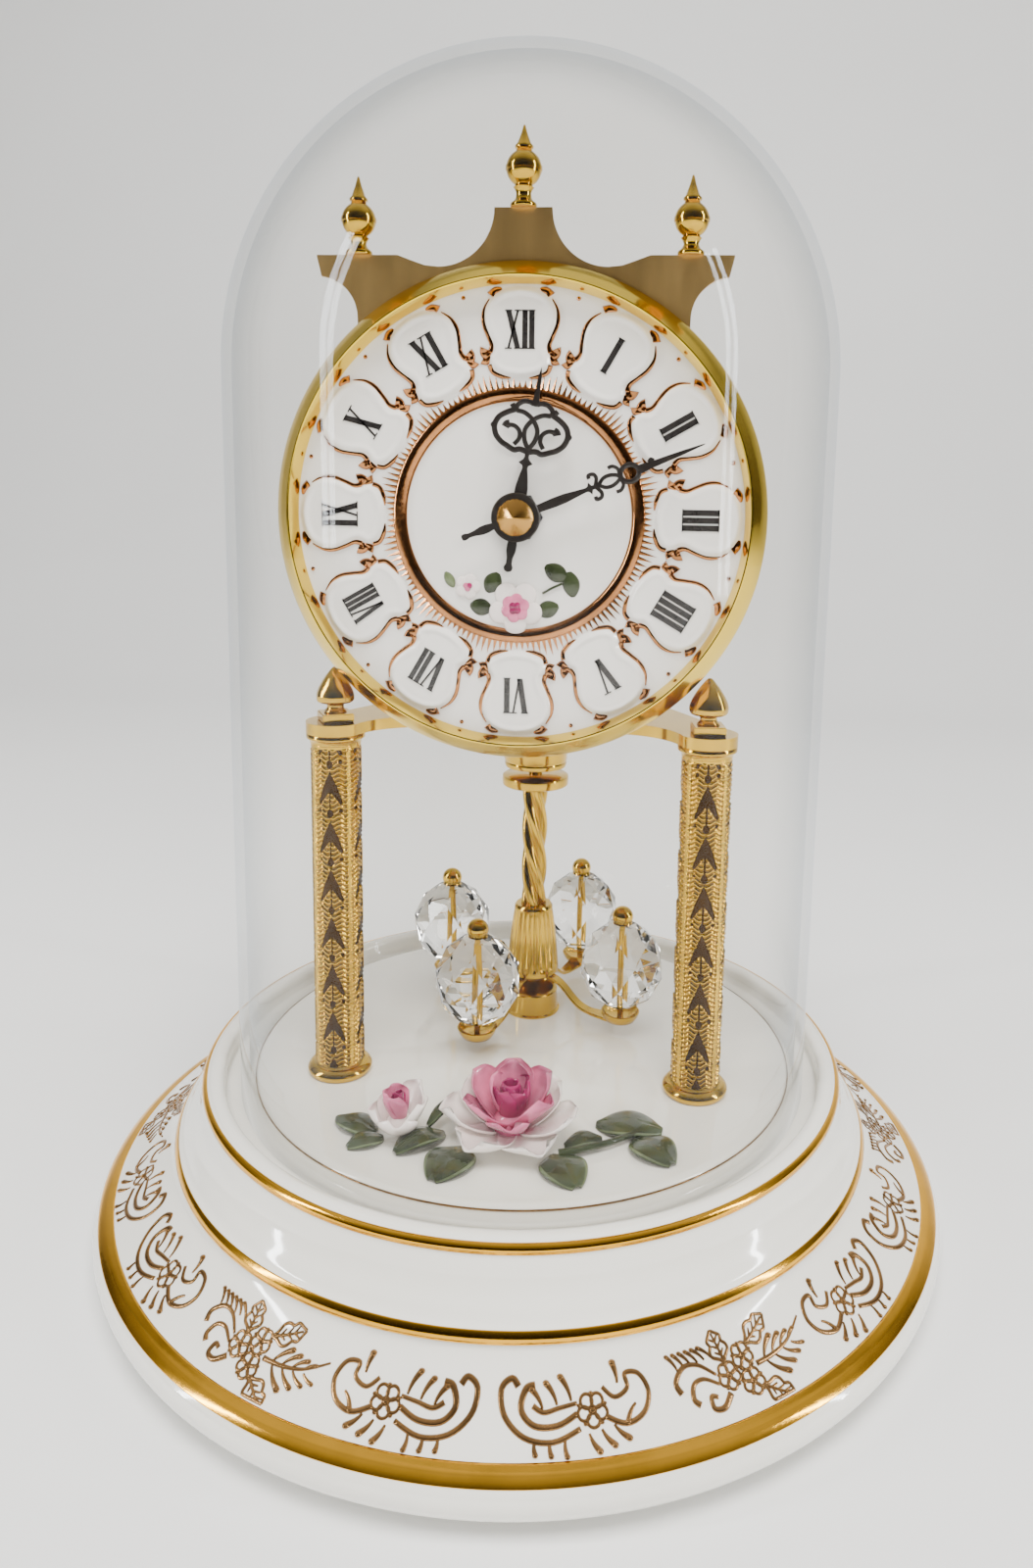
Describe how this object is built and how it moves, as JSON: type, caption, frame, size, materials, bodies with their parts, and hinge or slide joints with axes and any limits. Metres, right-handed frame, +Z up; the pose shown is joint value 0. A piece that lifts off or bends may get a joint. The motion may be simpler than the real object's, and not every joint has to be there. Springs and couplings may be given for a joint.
{
  "type": "anniversary clock",
  "caption": "Anniversary clock with a glass dome, a round porcelain base with roses, brass columns, a round dial in a brass drum, and a rotating pendulum with crystal balls.",
  "frame": {"origin": "on the table under the dome's vertical axis", "axes": "+Z up along the dome's axis, the clock's face towards -Y, +X to the viewer's right"},
  "size_m": [0.2366, 0.2366, 0.3128],
  "materials": {
    "polished_brass": "polished and lacquered",
    "embossed_brass": "embossed and polished",
    "porcelain": "high gloss glaze with gold bands",
    "dial_porcelain": "glossy glaze with relief and printed decoration",
    "rose_porcelain": "glazed, hand tinted",
    "leaf_porcelain": "glazed, hand tinted",
    "felt": "felt",
    "bright_steel": "plated",
    "hand_black": "gloss black",
    "dark_plastic": "moulded",
    "board": "solder resist",
    "copper_wire": "enamelled wire",
    "battery_sleeve": "shrink sleeve",
    "magnet": "sintered",
    "dome_glass": "clear",
    "crystal_glass": "cut and polished"
  },
  "bodies": {
    "stand": {"base_shell": "porcelain", "base_pad": "felt", "left_column": "embossed_brass", "right_column": "embossed_brass", "column_feet": "polished_brass", "column_caps": "polished_brass", "tie_rods": "bright_steel", "base_nuts": "bright_steel", "support_plate": "polished_brass", "square_nuts": "polished_brass", "acorn_finials": "polished_brass", "guide_cup": "polished_brass", "cup_screw": "bright_steel", "large_rose": "rose_porcelain", "rose_bud": "rose_porcelain", "rose_leaves": "leaf_porcelain", "neck_bush": "polished_brass", "case_saddle": "polished_brass", "drum_case": "polished_brass", "case_screws": "bright_steel", "bezel": "polished_brass", "dial": "dial_porcelain", "dial_nut": "dark_plastic", "crown": "polished_brass", "centre_spire": "polished_brass", "side_spires": "polished_brass", "rear_cover": "polished_brass", "movement_front": "dark_plastic", "movement_back": "dark_plastic", "circuit_board": "board", "stator": "bright_steel", "motor_coil": "copper_wire", "battery": "battery_sleeve", "battery_holder": "dark_plastic", "battery_contacts": "bright_steel", "drive_bracket": "bright_steel", "drive_coil": "copper_wire"},
    "dome": {"dome": "dome_glass"},
    "door": {"battery_door": "polished_brass"},
    "hour_work": {"hour_hand": "hand_black", "hour_wheel": "polished_brass"},
    "minute_work": {"minute_hand": "hand_black", "minute_arbor": "polished_brass", "hand_nut": "polished_brass"},
    "centre_wheel": {"centre_wheel": "polished_brass"},
    "minute_wheel": {"minute_wheel": "polished_brass"},
    "knob": {"setting_knob": "dark_plastic"},
    "third_wheel": {"third_wheel": "polished_brass"},
    "seconds_wheel": {"seconds_wheel": "polished_brass"},
    "intermediate_wheel": {"intermediate_wheel": "polished_brass"},
    "rotor": {"rotor": "magnet"},
    "pendulum": {"hanger": "polished_brass", "suspension_wire": "bright_steel", "drive_magnet": "magnet", "pendulum_stem": "polished_brass", "pendulum_cone": "polished_brass", "guide_pin": "polished_brass", "pendulum_arms": "polished_brass", "crystals": "crystal_glass", "crystal_caps": "polished_brass"}
  },
  "joints": [
    {"name": "dome_lift", "type": "slide", "parent": "stand", "child": "dome", "axis": [0, 0, 1], "range_m": [0, 0.28]},
    {"name": "door_pull", "type": "slide", "parent": "stand", "child": "door", "axis": [0, 1, 0], "range_m": [0, 0.03]},
    {"name": "minute_turn", "type": "hinge", "parent": "stand", "child": "minute_work", "pos_m": [0, 0, 0.1965], "axis": [0, 1, 0], "continuous": true},
    {"name": "hour_turn", "type": "hinge", "parent": "stand", "child": "hour_work", "pos_m": [0, 0, 0.1965], "axis": [0, 1, 0], "continuous": true},
    {"name": "minute_wheel_turn", "type": "hinge", "parent": "stand", "child": "minute_wheel", "pos_m": [0.012, 0, 0.1965], "axis": [0, 1, 0], "continuous": true},
    {"name": "knob_turn", "type": "hinge", "parent": "stand", "child": "knob", "pos_m": [0.0234, 0, 0.1965], "axis": [0, 1, 0], "continuous": true},
    {"name": "centre_turn", "type": "hinge", "parent": "stand", "child": "centre_wheel", "pos_m": [0, 0, 0.1965], "axis": [0, 1, 0], "continuous": true},
    {"name": "third_turn", "type": "hinge", "parent": "stand", "child": "third_wheel", "pos_m": [-0.00764, 0, 0.20414], "axis": [0, 1, 0], "continuous": true},
    {"name": "seconds_turn", "type": "hinge", "parent": "stand", "child": "seconds_wheel", "pos_m": [-0.0004, 0, 0.21136], "axis": [0, 1, 0], "continuous": true},
    {"name": "intermediate_turn", "type": "hinge", "parent": "stand", "child": "intermediate_wheel", "pos_m": [0.0095, 0, 0.2149], "axis": [0, 1, 0], "continuous": true},
    {"name": "rotor_turn", "type": "hinge", "parent": "stand", "child": "rotor", "pos_m": [0.0203, 0, 0.2149], "axis": [0, 1, 0], "continuous": true},
    {"name": "pendulum_turn", "type": "hinge", "parent": "stand", "child": "pendulum", "pos_m": [0, 0.0214, 0.1], "axis": [0, 0, 1], "range_deg": [-135, 135]}
  ],
  "couplings": [
    {"joint": "hour_turn", "follows": "minute_turn", "ratio": 0.083333},
    {"joint": "minute_wheel_turn", "follows": "minute_turn", "ratio": -0.33333},
    {"joint": "knob_turn", "follows": "minute_turn", "ratio": 1.25},
    {"joint": "centre_turn", "follows": "seconds_turn", "ratio": 0.016667},
    {"joint": "third_turn", "follows": "seconds_turn", "ratio": -0.13333},
    {"joint": "intermediate_turn", "follows": "seconds_turn", "ratio": -6},
    {"joint": "rotor_turn", "follows": "seconds_turn", "ratio": 30}
  ]
}
